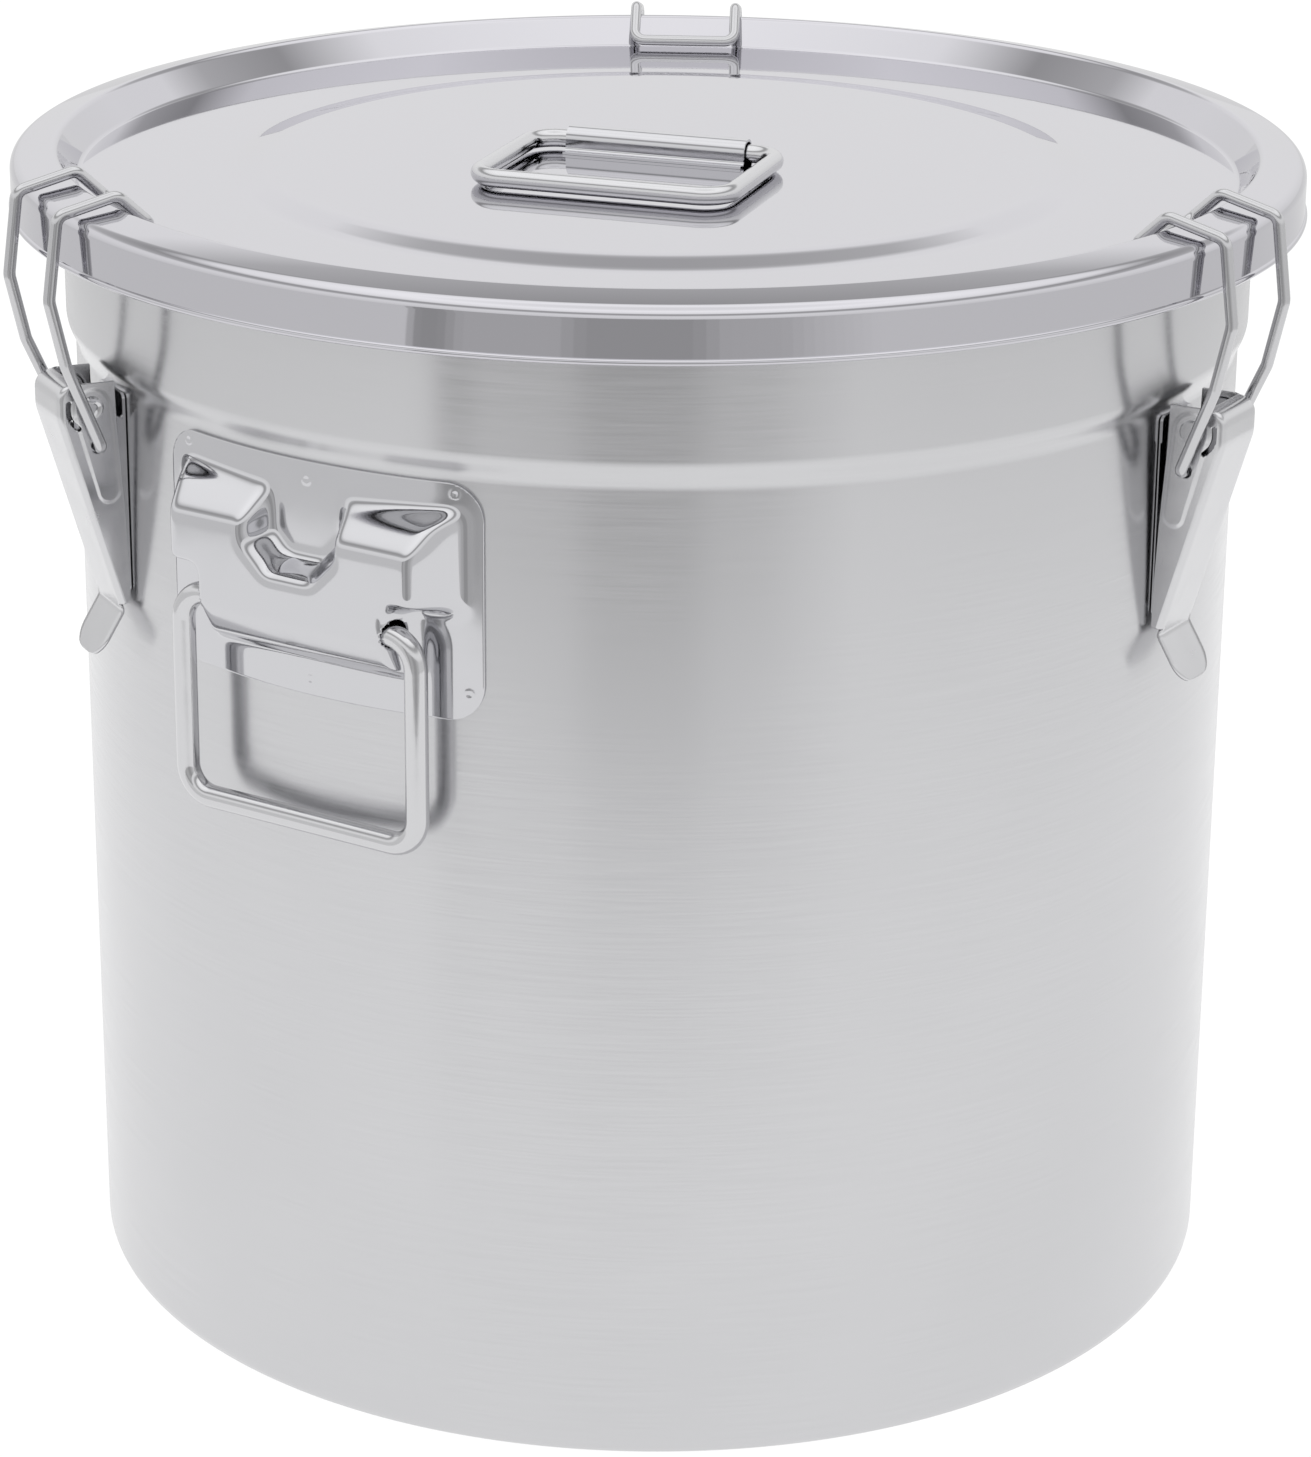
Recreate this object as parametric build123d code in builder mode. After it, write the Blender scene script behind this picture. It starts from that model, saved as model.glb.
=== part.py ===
from build123d import *
import os
from math import cos, radians, sin

# Stainless milk can with a clamped lid. Origin: centre of the underside of the base, +Z up.
# Directions round the can are angles from -Y, positive towards +X. Millimetres.

# can body
CAN_R = 200.0              # outer radius of the drum
COLLAR_R = 203.0           # outer radius of the band above the step
SHEET = 1.0                # can, plate and latch sheet
BASE_H = 12.0              # height of the pressed base dish
BASE_CORNER = 7.0          # outer corner radius of the base
STEP_Z = (337.2, 343.2)    # bottom and top of the step up to the collar
MOUTH_FOOT = 386.0         # weld between the drum and the mouth ring
FLANGE_Z = 391.7           # underside of the mouth flange
FLANGE_R = 216.4           # radius at which the flange turns down
FLANGE_LIP = 2.5           # depth of the turned-down edge
WELD_GAP = 0.05            # gap left under a spot welded piece

# lid
LID_SHEET = 0.8
LID_R = 220.0              # outer radius of the skirt
LID_PANEL_Z = 390.0        # recessed flat ring of the lid
LID_DISC_Z = 392.5         # raised centre disc
LID_CREST_Z = 400.55       # corner of the rim before it is rounded
SKIRT_Z = 381.3            # centre of the rolled hem
HEM_R = 1.1

# lid handle
LID_HANDLE_TURN = 104.3    # direction of the sleeve, from +X towards +Y
LID_ROD_D = 6.3
LID_ROD_Z = 396.3
LID_LOOP = (88.2, 64.0)    # centreline length and reach of the loop
SLEEVE_L = 64.0
SLEEVE_TOP = 401.0

# side handles
HANDLE_ANGLES = {"left": -90.0, "right": 90.0}
PLATE_W = 121.6
PLATE_Z = (257.0, 334.5)
PLATE_CORNER = 12.0
HOUSING_P = 212.5          # distance of the housing's flat face from the can axis
FOOT_P = 190.0             # depth at which the housing outline is drawn, inside the wall
RING_D = 7.5
RING_P = 207.0             # distance of the ring's plane from the can axis
RING_HALF_W = 45.7
RING_Z = (216.5, 286.0)
RING_BEND = 10.0
RING_HOLE_R = 4.5

# latches
LATCH_ANGLES = {"front": 0.0, "left": -120.0, "right": 120.0}
PIVOT = (212.0, 333.0)     # rivet, as radius and height
HOOK = (210.3, 320.0)      # bail pin in the lever, as radius and height
RIVET_R = 2.0
WIRE_R = 2.0
RUNNING = 0.06             # radial clearance of the rivet and of the bail pins
LEVER_HALF_W = 12.0
EAR_HALF_W = 10.65
BASE_Z = (268.0, 336.0)
HEAD_R = 3.9
HEAD_T = 0.8
HEAD_GAP = 0.3             # between the lever's side and a rivet head
FRONT_FOOT = (203.8, 262.0)     # lower end of the lever's front face
FRONT_TOP = (223.4, 329.7)      # upper end of the straight part of the front face
TAB_REACH = 18.5
TAB_LEAN = 32.0            # degrees that the finger tab kicks out from straight down
TAB_HALF_W = 11.0
BAIL_HALF_W = 19.0
PIN_HALF_W = 16.0          # half width of the bail where its ends turn inwards
PIN_TIP = 11.0
CROSSBAR = (192.1, 393.25)


def outward(angle, distance=0.0):
    """Plane facing away from the can axis: x runs round the can, y is up."""
    a = radians(angle)
    radial = Vector(sin(a), -cos(a), 0)
    return Plane(origin=radial * distance, x_dir=(cos(a), sin(a), 0), z_dir=radial)


def through_axis(angle):
    """Plane through the can axis: x is the radius, y is up."""
    a = radians(angle)
    return Plane(origin=(0, 0, 0), x_dir=(sin(a), -cos(a), 0), z_dir=(-cos(a), -sin(a), 0))


def save(part, name):
    part.label = name
    export_step(part, f"parts/{name}.step")


def turned_sheet(points, radii, thickness, side):
    """Sheet of even thickness on one side of a profile, turned round the can axis."""
    with BuildPart() as sheet:
        with BuildSketch(Plane.XZ):
            with BuildLine():
                FilletPolyline(*points, radius=radii)
                offset(amount=thickness, side=side)
            make_face()
        revolve(axis=Axis.Z)
    return sheet.part


def make_can_shell():
    """Rolled drum with a step pressed outwards below its straight upper band."""
    profile = [
        (CAN_R, BASE_H),
        (CAN_R, STEP_Z[0]),
        (COLLAR_R, STEP_Z[1]),
        (COLLAR_R, MOUTH_FOOT),
    ]
    save(turned_sheet(profile, [10, 10], SHEET, Side.LEFT), "can_shell")


def make_can_mouth():
    """Flanged mouth ring, welded to the drum's upper band under the lid's skirt."""
    profile = [
        (COLLAR_R, MOUTH_FOOT),
        (COLLAR_R, FLANGE_Z),
        (FLANGE_R, FLANGE_Z),
        (FLANGE_R, FLANGE_Z - FLANGE_LIP),
    ]
    save(turned_sheet(profile, [3.5, 1.2], SHEET, Side.LEFT), "can_mouth")


def make_can_base():
    """Pressed dish that closes the drum."""
    profile = [(0, 0), (CAN_R, 0), (CAN_R, BASE_H)]
    save(turned_sheet(profile, [BASE_CORNER], SHEET, Side.LEFT), "can_base")


def make_lid_shell():
    """Pressed lid: raised disc, recessed panel, channel rim, skirt and rolled hem."""
    with BuildPart() as lid:
        with BuildSketch(Plane.XZ):
            with BuildLine():
                FilletPolyline(
                    (0, LID_DISC_Z),
                    (134, LID_DISC_Z),
                    (147, LID_PANEL_Z),
                    (197.5, LID_PANEL_Z),
                    (204.6, LID_CREST_Z),
                    (LID_R, LID_CREST_Z - 2.95),
                    (LID_R, SKIRT_Z),
                    radius=[40, 40, 2, 2.5, 4.5],
                )
                offset(amount=LID_SHEET, side=Side.RIGHT)
            make_face()
            with Locations((LID_R - HEM_R / 4, SKIRT_Z)):
                Circle(HEM_R)
        revolve(axis=Axis.Z)
    save(lid.part, "lid_shell")


def make_lid_gasket():
    """Silicone ring in the channel of the lid, over the can's mouth flange."""
    with BuildPart() as gasket:
        with BuildSketch(Plane.XZ):
            with BuildLine():
                Polyline((206.5, 393.0), (217.4, 393.0), (217.4, 395.8), (206.9, 398.0), close=True)
            make_face()
        revolve(axis=Axis.Z)
    save(gasket.part, "lid_gasket")


def lid_handle_plane(height):
    a = radians(LID_HANDLE_TURN)
    return Plane(origin=(0, 0, height), x_dir=(cos(a), sin(a), 0), z_dir=(0, 0, 1))


def make_lid_handle_sleeve():
    """Arched strap welded across the lid's centre, with two narrow feet."""
    level = lid_handle_plane(0)
    end_on = Plane(origin=(0, 0, 0), x_dir=level.y_dir, z_dir=level.x_dir)
    foot_z = LID_DISC_Z + WELD_GAP + LID_SHEET
    with BuildPart() as sleeve:
        with BuildSketch(end_on):
            with BuildLine():
                FilletPolyline(
                    (-8.2, foot_z),
                    (-5.1, foot_z),
                    (-4.6, SLEEVE_TOP),
                    (4.6, SLEEVE_TOP),
                    (5.1, foot_z),
                    (8.2, foot_z),
                    radius=[1.2, 4.2, 4.2, 1.2],
                )
                offset(amount=LID_SHEET, side=Side.RIGHT)
            make_face()
        extrude(amount=SLEEVE_L / 2, both=True)
    save(sleeve.part, "lid_handle_sleeve")


def rod_loop(plane, corners, bend, diameter):
    """Round rod bent into a closed loop with rounded corners."""
    with BuildPart() as loop:
        with BuildLine(plane) as path:
            FilletPolyline(*corners, radius=bend, close=True)
        with BuildSketch(Plane(origin=path.line @ 0, z_dir=path.line % 0)):
            Circle(diameter / 2)
        sweep(path=path.line)
    return loop.part


def make_lid_handle_ring():
    """Rod loop whose long side turns in the sleeve; at rest it lies on the lid."""
    half = LID_LOOP[0] / 2
    reach = LID_LOOP[1]
    corners = [(-half, 0), (half, 0), (half, reach), (-half, reach)]
    save(rod_loop(lid_handle_plane(LID_ROD_Z), corners, 10, LID_ROD_D), "lid_handle_ring")


def housing_outline(face_plane, lobe, neck, notch, lobe_z, notch_z):
    """Front outline of the housing: two lobes, a scoop between them and a narrower neck."""
    top = 330.0
    foot = 262.0
    half = [
        (neck, foot),
        (neck, lobe_z),
        (lobe, lobe_z),
        (lobe, top),
        (notch, top),
        (notch, notch_z + notch * 0.5),
        (notch * 0.5, notch_z),
    ]
    mirrored = [(-x, z) for x, z in reversed(half)]
    with BuildSketch(face_plane) as outline:
        with BuildLine():
            Polyline(*half, *mirrored, close=True)
        make_face()
    return outline.sketch


def housing_block(angle, inset):
    """Solid of the pressed housing, smaller all round by inset."""
    at_foot = housing_outline(
        outward(angle, FOOT_P), 55 - inset, 39.5 - inset, 13 + inset, 293 + inset, 305 - inset
    )
    at_face = housing_outline(
        outward(angle, HOUSING_P), 47 - inset, 37.5 - inset, 17 + inset, 296 + inset, 299 - inset
    )
    with BuildPart() as block:
        with BuildSketch(through_axis(angle)):
            with BuildLine():
                Polyline(
                    (FOOT_P, 324 - inset),
                    (201 - inset / 2, 324 - inset),
                    (HOUSING_P - inset, 314 - inset / 2),
                    (HOUSING_P - inset, 285 + inset / 4),
                    (204 - inset / 2, 271 + inset),
                    (FOOT_P, 269.5 + inset),
                    close=True,
                )
            make_face()
        extrude(amount=60, both=True)
        loft([at_foot, at_face], ruled=True, mode=Mode.INTERSECT)
    return block.part


def make_handle_plate(name, angle):
    """Curved plate spot welded to the drum, with a pressed housing for the ring's bar."""
    inner = CAN_R + WELD_GAP
    housing = housing_block(angle, 0)
    hollow = housing_block(angle, SHEET)
    with BuildPart() as plate:
        with BuildSketch(outward(angle, FOOT_P - 10)):
            with Locations((0, sum(PLATE_Z) / 2)):
                RectangleRounded(PLATE_W, PLATE_Z[1] - PLATE_Z[0], PLATE_CORNER)
        extrude(amount=40)
        with BuildSketch():
            Circle(inner + SHEET)
        extrude(amount=PLATE_Z[1] + 1, mode=Mode.INTERSECT)
        add(housing)
        with BuildSketch():
            Circle(inner)
        extrude(amount=PLATE_Z[1] + 1, mode=Mode.SUBTRACT)
        add(hollow, mode=Mode.SUBTRACT)
        with BuildSketch(through_axis(angle)):
            with Locations((RING_P, RING_Z[1])):
                Circle(RING_HOLE_R)
        extrude(amount=42, both=True, mode=Mode.SUBTRACT)
    save(plate.part, f"handle_plate_{name}")


def make_handle_ring(name, angle):
    """Rod ring that hangs from the housing and swings out to be gripped."""
    low, high = RING_Z
    corners = [(-RING_HALF_W, high), (RING_HALF_W, high), (RING_HALF_W, low), (-RING_HALF_W, low)]
    ring = rod_loop(outward(angle, RING_P), corners, RING_BEND, RING_D)
    save(ring, f"handle_ring_{name}")


def make_latch_base(name, angle):
    """Flat back spot welded to the drum, with two ears that carry the rivet."""
    back = outward(angle, CAN_R + WELD_GAP)
    with BuildPart() as base:
        with BuildSketch(back):
            with Locations((0, sum(BASE_Z) / 2)):
                RectangleRounded(2 * EAR_HALF_W, BASE_Z[1] - BASE_Z[0], 2)
        extrude(amount=SHEET)
        with BuildSketch(through_axis(angle)) as ear:
            with BuildLine():
                Polyline(
                    (CAN_R + SHEET / 2, BASE_Z[0] + 4),
                    (203.5, BASE_Z[0] + 6),
                    (217.4, 318),
                    (218, 334),
                    (214.5, 339),
                    (207, 339),
                    (204.6, BASE_Z[1]),
                    (204.6, BASE_Z[1] - 6),
                    (CAN_R + SHEET / 2, BASE_Z[1] - 9),
                    close=True,
                )
            make_face()
            with Locations(PIVOT):
                Circle(RIVET_R + 0.02, mode=Mode.SUBTRACT)
        extrude(ear.sketch, amount=EAR_HALF_W, both=True)
        with BuildSketch(outward(angle, CAN_R + WELD_GAP + SHEET)):
            with Locations((0, sum(BASE_Z) / 2)):
                Rectangle(2 * (EAR_HALF_W - SHEET), 100)
        extrude(amount=30, mode=Mode.SUBTRACT)
    save(base.part, f"latch_base_{name}")


def make_latch_rivet(name, angle):
    """Rivet through the ears and the lever, with a flat head on each side."""
    head_start = LEVER_HALF_W + HEAD_GAP
    with BuildPart() as rivet:
        with BuildSketch(through_axis(angle)):
            with Locations(PIVOT):
                Circle(RIVET_R)
        extrude(amount=head_start, both=True)
        for side in (-1, 1):
            with BuildSketch(through_axis(angle).offset(side * head_start)):
                with Locations(PIVOT):
                    Circle(HEAD_R)
            extrude(amount=side * HEAD_T)
    save(rivet.part, f"latch_rivet_{name}")


def make_latch_lever(name, angle):
    """Folded channel that tapers to a finger tab; its open side faces the can."""
    lean = (FRONT_TOP[0] - FRONT_FOOT[0]) / (FRONT_TOP[1] - FRONT_FOOT[1])
    with BuildPart() as lever:
        with BuildSketch(through_axis(angle)):
            with BuildLine():
                Polyline(
                    (204, 341),
                    (216.5, 341.5),
                    (221, 339.7),
                    (223.2, 336),
                    FRONT_TOP,
                    FRONT_FOOT,
                    (200.9, FRONT_FOOT[1] + 1.5),
                    (201.2, 280),
                    (202, 300),
                    (203.4, 322),
                    close=True,
                )
            make_face()
            for centre in (PIVOT, HOOK):
                with Locations(centre):
                    Circle(RIVET_R + RUNNING, mode=Mode.SUBTRACT)
        extrude(amount=LEVER_HALF_W, both=True)
        with BuildSketch(through_axis(angle)):
            with BuildLine():
                Polyline(
                    (190, 350),
                    (216, 350),
                    (216, 340.6),
                    (220.3, 339),
                    (222.2, 335.7),
                    (FRONT_TOP[0] - SHEET, FRONT_TOP[1]),
                    (FRONT_FOOT[0] - SHEET, FRONT_FOOT[1]),
                    (FRONT_FOOT[0] - SHEET - 6 * lean, FRONT_FOOT[1] - 6),
                    (190, FRONT_FOOT[1] - 6),
                    close=True,
                )
            make_face()
        extrude(amount=LEVER_HALF_W - SHEET, both=True, mode=Mode.SUBTRACT)
        a = radians(angle)
        radial = Vector(sin(a), -cos(a), 0)
        down_tab = radial * sin(radians(TAB_LEAN)) - Vector(0, 0, cos(radians(TAB_LEAN)))
        x_dir = Vector(cos(a), sin(a), 0)
        bend = radial * (FRONT_FOOT[0] - SHEET) + Vector(0, 0, FRONT_FOOT[1] + 0.6)
        tab_plane = Plane(origin=bend, x_dir=x_dir, z_dir=x_dir.cross(down_tab))
        with BuildSketch(tab_plane) as tab:
            with Locations((0, TAB_REACH / 2)):
                Rectangle(2 * TAB_HALF_W, TAB_REACH)
            fillet(tab.vertices().group_by(Axis.Z)[0], radius=8)
        extrude(amount=-SHEET)
    save(lever.part, f"latch_lever_{name}")


def make_latch_bail(name, angle):
    """Spring wire bail: over the lid's rim, with its two ends hooked into the lever."""
    leg = [
        (CROSSBAR, BAIL_HALF_W),
        ((203.3, 404.0), BAIL_HALF_W),
        ((223.7, 399.3), BAIL_HALF_W),
        ((227.5, 372.0), BAIL_HALF_W),
        ((222.7, 350.0), BAIL_HALF_W),
        (HOOK, PIN_HALF_W),
        (HOOK, PIN_TIP),
    ]
    right = [(width, z, r) for (r, z), width in leg]
    left = [(-width, z, r) for (r, z), width in reversed(leg)]
    bends = [3.0, 8.0, 8.0, 4.0, 4.0, 4.0]
    with BuildPart() as bail:
        with BuildLine(outward(angle)) as path:
            FilletPolyline(*left, *right, radius=bends[:5] + [4.0, 4.0] + bends[:5][::-1])
        with BuildSketch(Plane(origin=path.line @ 0, z_dir=path.line % 0)):
            Circle(WIRE_R)
        sweep(path=path.line)
    save(bail.part, f"latch_bail_{name}")


os.makedirs("parts", exist_ok=True)

make_can_base()
make_can_shell()
make_can_mouth()
for handle_name, handle_angle in HANDLE_ANGLES.items():
    make_handle_plate(handle_name, handle_angle)
    make_handle_ring(handle_name, handle_angle)
for latch_name, latch_angle in LATCH_ANGLES.items():
    make_latch_base(latch_name, latch_angle)
    make_latch_rivet(latch_name, latch_angle)
    make_latch_lever(latch_name, latch_angle)
    make_latch_bail(latch_name, latch_angle)
make_lid_shell()
make_lid_gasket()
make_lid_handle_sleeve()
make_lid_handle_ring()
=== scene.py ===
import math
import bmesh
import bpy
import numpy as np
from mathutils import Matrix


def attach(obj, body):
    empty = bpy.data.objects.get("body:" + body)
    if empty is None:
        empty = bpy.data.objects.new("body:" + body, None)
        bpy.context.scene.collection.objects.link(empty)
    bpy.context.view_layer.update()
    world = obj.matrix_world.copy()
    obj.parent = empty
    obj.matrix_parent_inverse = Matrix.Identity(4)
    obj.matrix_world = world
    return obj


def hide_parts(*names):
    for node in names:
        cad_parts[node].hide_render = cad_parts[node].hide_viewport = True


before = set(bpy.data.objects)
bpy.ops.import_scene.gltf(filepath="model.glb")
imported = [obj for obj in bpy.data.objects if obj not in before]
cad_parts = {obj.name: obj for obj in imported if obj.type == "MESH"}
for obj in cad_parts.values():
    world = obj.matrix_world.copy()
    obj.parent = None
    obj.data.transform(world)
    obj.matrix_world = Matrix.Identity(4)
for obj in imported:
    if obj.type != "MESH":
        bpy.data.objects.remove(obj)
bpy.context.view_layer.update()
MM = 0.001


# ---------------------------------------------------------------- studio
# A self-lit white table under a banded sky. A grey surround and a row of grey cards, out of
# the camera's sight, are there for the metal to mirror.

def paint(hex_colour):
    """Linear colour of an sRGB hex value: each channel is undone by the sRGB curve."""
    levels = np.array([int(hex_colour[i:i + 2], 16) / 255 for i in (1, 3, 5)])
    linear = np.where(levels <= 0.04045, levels / 12.92, ((levels + 0.055) / 1.055) ** 2.4)
    return (*linear, 1.0)


def add_node(tree, kind, settings=None, inputs=None):
    """Adds one node: settings are its own properties, inputs its socket values or links."""
    new = tree.nodes.new(kind)
    for key, value in (settings or {}).items():
        setattr(new, key, value)
    for key, value in (inputs or {}).items():
        if isinstance(value, bpy.types.NodeSocket):
            tree.links.new(value, new.inputs[key])
        else:
            new.inputs[key].default_value = value
    return new


def blank_material(name):
    made = bpy.data.materials.new(name)
    made.use_nodes = True
    made.node_tree.nodes.clear()
    return made, made.node_tree


def glow_material(name, colour, strength):
    made, tree = blank_material(name)
    glow = add_node(tree, "ShaderNodeEmission", inputs={"Color": paint(colour), "Strength": strength})
    add_node(tree, "ShaderNodeOutputMaterial", inputs={"Surface": glow.outputs[0]})
    return made


def stage_quad(name, corners, material, seen=False):
    """Flat four-sided piece of the set. An unseen one shows in reflections and casts no shadow."""
    mesh = bpy.data.meshes.new(name)
    mesh.from_pydata(corners, [], [(0, 1, 2, 3)])
    mesh.materials.append(material)
    quad = bpy.data.objects.new(name, mesh)
    bpy.context.scene.collection.objects.link(quad)
    quad.visible_camera = seen
    if not seen:
        quad.visible_diffuse = False
        quad.visible_shadow = False


VIEW_TURN = math.radians(-57.2)     # direction of the camera round the can, from -Y towards +X
CAMERA_BACK = 1.4927
CAMERA_SIDE = 0.0006
CAMERA_HEIGHT = 0.7394
CAMERA_PITCH = math.radians(20.42)
CAMERA_ROLL = math.radians(0.475)
CAMERA_LENS = 109.7


def from_camera(x, y, z):
    """Point given in the camera's own heading: x to its right, y away from it, z up."""
    c, s = math.cos(VIEW_TURN), math.sin(VIEW_TURN)
    return (x * c - y * s, x * s + y * c, z)


camera_data = bpy.data.cameras.new("camera")
camera_data.lens = CAMERA_LENS
camera_data.clip_end = 100
camera = bpy.data.objects.new("camera", camera_data)
camera.rotation_mode = "XYZ"
camera.location = from_camera(CAMERA_SIDE, -CAMERA_BACK, CAMERA_HEIGHT)
bpy.context.scene.collection.objects.link(camera)
bpy.context.scene.camera = camera
heading = (
    Matrix.Rotation(VIEW_TURN, 4, "Z")
    @ Matrix.Rotation(math.pi / 2 - CAMERA_PITCH, 4, "X")
    @ Matrix.Rotation(CAMERA_ROLL, 4, "Z")
)
camera.rotation_euler = heading.to_euler("XYZ")

bpy.context.scene.view_settings.view_transform = "Standard"

world = bpy.data.worlds.new("studio air")
bpy.context.scene.world = world
world.use_nodes = True
world.node_tree.nodes.clear()
air = world.node_tree
direction = add_node(air, "ShaderNodeTexCoord")
split = add_node(air, "ShaderNodeSeparateXYZ", inputs={"Vector": direction.outputs["Generated"]})
bands = add_node(air, "ShaderNodeValToRGB", inputs={"Fac": split.outputs["Z"]})
# height of the direction, from level to straight up, and the brightness there
SKY = [
    (0.0, 0.85),
    (0.30, 1.02),
    (0.44, 1.04),
    (0.52, 0.62),
    (0.64, 0.45),
    (0.74, 1.15),
    (0.92, 1.35),
    (1.0, 1.1),
]
ramp = bands.color_ramp
while len(ramp.elements) < len(SKY):
    ramp.elements.new(0.5)
for stop, (height, level) in zip(ramp.elements, SKY):
    stop.position = height
    stop.color = (level, level, level, 1.0)
sky = add_node(air, "ShaderNodeBackground", inputs={"Color": bands.outputs["Color"], "Strength": 1.0})
add_node(air, "ShaderNodeOutputWorld", inputs={"Surface": sky.outputs[0]})

floor_paint, floor_tree = blank_material("matt white table")
floor_skin = add_node(
    floor_tree,
    "ShaderNodeBsdfPrincipled",
    inputs={
        "Base Color": paint("#505050"),
        "Roughness": 0.9,
        "Specular IOR Level": 0.0,
        "Emission Color": paint("#FFFFFF"),
        "Emission Strength": 0.97,
    },
)
add_node(floor_tree, "ShaderNodeOutputMaterial", inputs={"Surface": floor_skin.outputs[0]})
TABLE_HALF = 20.0
stage_quad(
    "floor",
    [
        (-TABLE_HALF, -TABLE_HALF, 0),
        (TABLE_HALF, -TABLE_HALF, 0),
        (TABLE_HALF, TABLE_HALF, 0),
        (-TABLE_HALF, TABLE_HALF, 0),
    ],
    floor_paint,
    seen=True,
)

# the surround dims what the metal mirrors near the horizon; the cards dim the camera's side further
SURROUND_R, SURROUND_TOP, SURROUND_LEVEL, SURROUND_SIDES = 1.15, 0.45, 0.80, 48
CARD_BACK, CARD_TOP, CARD_STRIPS = 0.9, 0.45, 44
CARD_PLACES = [-0.74, -0.66, -0.58, -0.50, -0.24, -0.16, 0.08, 0.16, 0.30, 0.40, 0.60]
CARD_LEVELS = [0.80, 0.40, 0.40, 0.56, 0.56, 0.43, 0.43, 0.56, 0.58, 0.68, 0.80]
surround_paint = glow_material("grey surround", "#FFFFFF", SURROUND_LEVEL)
for i in range(SURROUND_SIDES):
    a, b = 2 * math.pi * i / SURROUND_SIDES, 2 * math.pi * (i + 1) / SURROUND_SIDES
    left = (SURROUND_R * math.cos(a), SURROUND_R * math.sin(a))
    right = (SURROUND_R * math.cos(b), SURROUND_R * math.sin(b))
    stage_quad(
        f"surround_{i}",
        [(*left, 0), (*right, 0), (*right, SURROUND_TOP), (*left, SURROUND_TOP)],
        surround_paint,
    )
edges = np.linspace(CARD_PLACES[0], CARD_PLACES[-1], CARD_STRIPS + 1)
for i, (left, right) in enumerate(zip(edges, edges[1:])):
    level = float(np.interp((left + right) / 2, CARD_PLACES, CARD_LEVELS))
    feet = [from_camera(left, -CARD_BACK, 0), from_camera(right, -CARD_BACK, 0)]
    tops = [from_camera(right, -CARD_BACK, CARD_TOP), from_camera(left, -CARD_BACK, CARD_TOP)]
    stage_quad(f"card_{i}", feet + tops, glow_material(f"grey card {i}", "#FFFFFF", level))


# ---------------------------------------------------------------- drum
# Stainless sheet, 1 mm, rolled and welded into a drum, with a step pressed outwards below
# its straight upper band. Brushed round with a fine belt.

def rounded(points, radii, steps=8):
    """Path with each inner corner replaced by an arc that is tangent to both its sides."""
    points = [np.array(p, float) for p in points]
    path = [points[0][None]]
    for before, corner, after, radius in zip(points, points[1:], points[2:], radii):
        a = (before - corner) / np.linalg.norm(before - corner)
        b = (after - corner) / np.linalg.norm(after - corner)
        half = math.acos(np.clip(a @ b, -1, 1)) / 2
        middle = (a + b) / np.linalg.norm(a + b)
        centre = corner + middle * radius / math.sin(half)
        start = corner + a * radius / math.tan(half) - centre
        across = -middle * radius - start * ((-middle * radius) @ start) / (start @ start)
        across *= radius / np.linalg.norm(across)
        turn = np.linspace(0, math.pi - 2 * half, steps)[:, None]
        path.append(centre + start * np.cos(turn) + across * np.sin(turn))
    path.append(points[-1][None])
    return np.concatenate(path)


def sheet_section(path, thickness):
    """Closed outline of a sheet: the path, and the path moved along its right-hand normal."""
    run = np.gradient(path, axis=0)
    run /= np.linalg.norm(run, axis=1)[:, None]
    normal = np.stack([run[:, 1], -run[:, 0]], 1)
    return np.concatenate([path, (path + normal * thickness)[::-1]])


MERGE = 2e-6        # metres; vertices nearer than this are one


def mesh_piece(name, vertices, faces, material, sharp=35.0):
    """Object from vertices in millimetres, its doubles merged and its faces turned outwards.
    A closed shell is turned by the sign of its volume, an open sheet away from the can axis."""
    mesh = bpy.data.meshes.new(name)
    work = bmesh.new()
    raw = bpy.data.meshes.new(name + "_raw")
    raw.from_pydata((np.asarray(vertices) * MM).tolist(), [], [list(f) for f in faces])
    work.from_mesh(raw)
    bpy.data.meshes.remove(raw)
    bmesh.ops.remove_doubles(work, verts=work.verts, dist=MERGE)
    bare = [edge for edge in work.edges if not edge.link_faces]
    bmesh.ops.delete(work, geom=bare, context="EDGES")
    closed = all(len(edge.link_faces) == 2 for edge in work.edges)
    if closed:
        outwards = work.calc_volume(signed=True)
    else:
        outwards = sum(
            face.normal.xy.dot(face.calc_center_median().xy) * face.calc_area() for face in work.faces
        )
    if outwards < 0:
        bmesh.ops.reverse_faces(work, faces=work.faces)
    work.to_mesh(mesh)
    work.free()
    mesh.shade_smooth()
    mesh.set_sharp_from_angle(angle=math.radians(sharp))
    mesh.materials.append(material)
    piece = bpy.data.objects.new(name, mesh)
    bpy.context.scene.collection.objects.link(piece)
    return piece


def grid_faces(rows, columns, wrap_rows=False, wrap_columns=False):
    """Quads that join each point of a rows x columns grid to its three next neighbours."""
    r = np.arange(rows if wrap_rows else rows - 1)[:, None]
    c = np.arange(columns if wrap_columns else columns - 1)[None, :]
    r2, c2 = (r + 1) % rows, (c + 1) % columns
    corners = [r * columns + c, r * columns + c2, r2 * columns + c2, r2 * columns + c]
    return np.stack(corners, -1).reshape(-1, 4)


CAN_AXES = ((0, 0, 0), (1, 0, 0), (0, 1, 0), (0, 0, 1))


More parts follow.
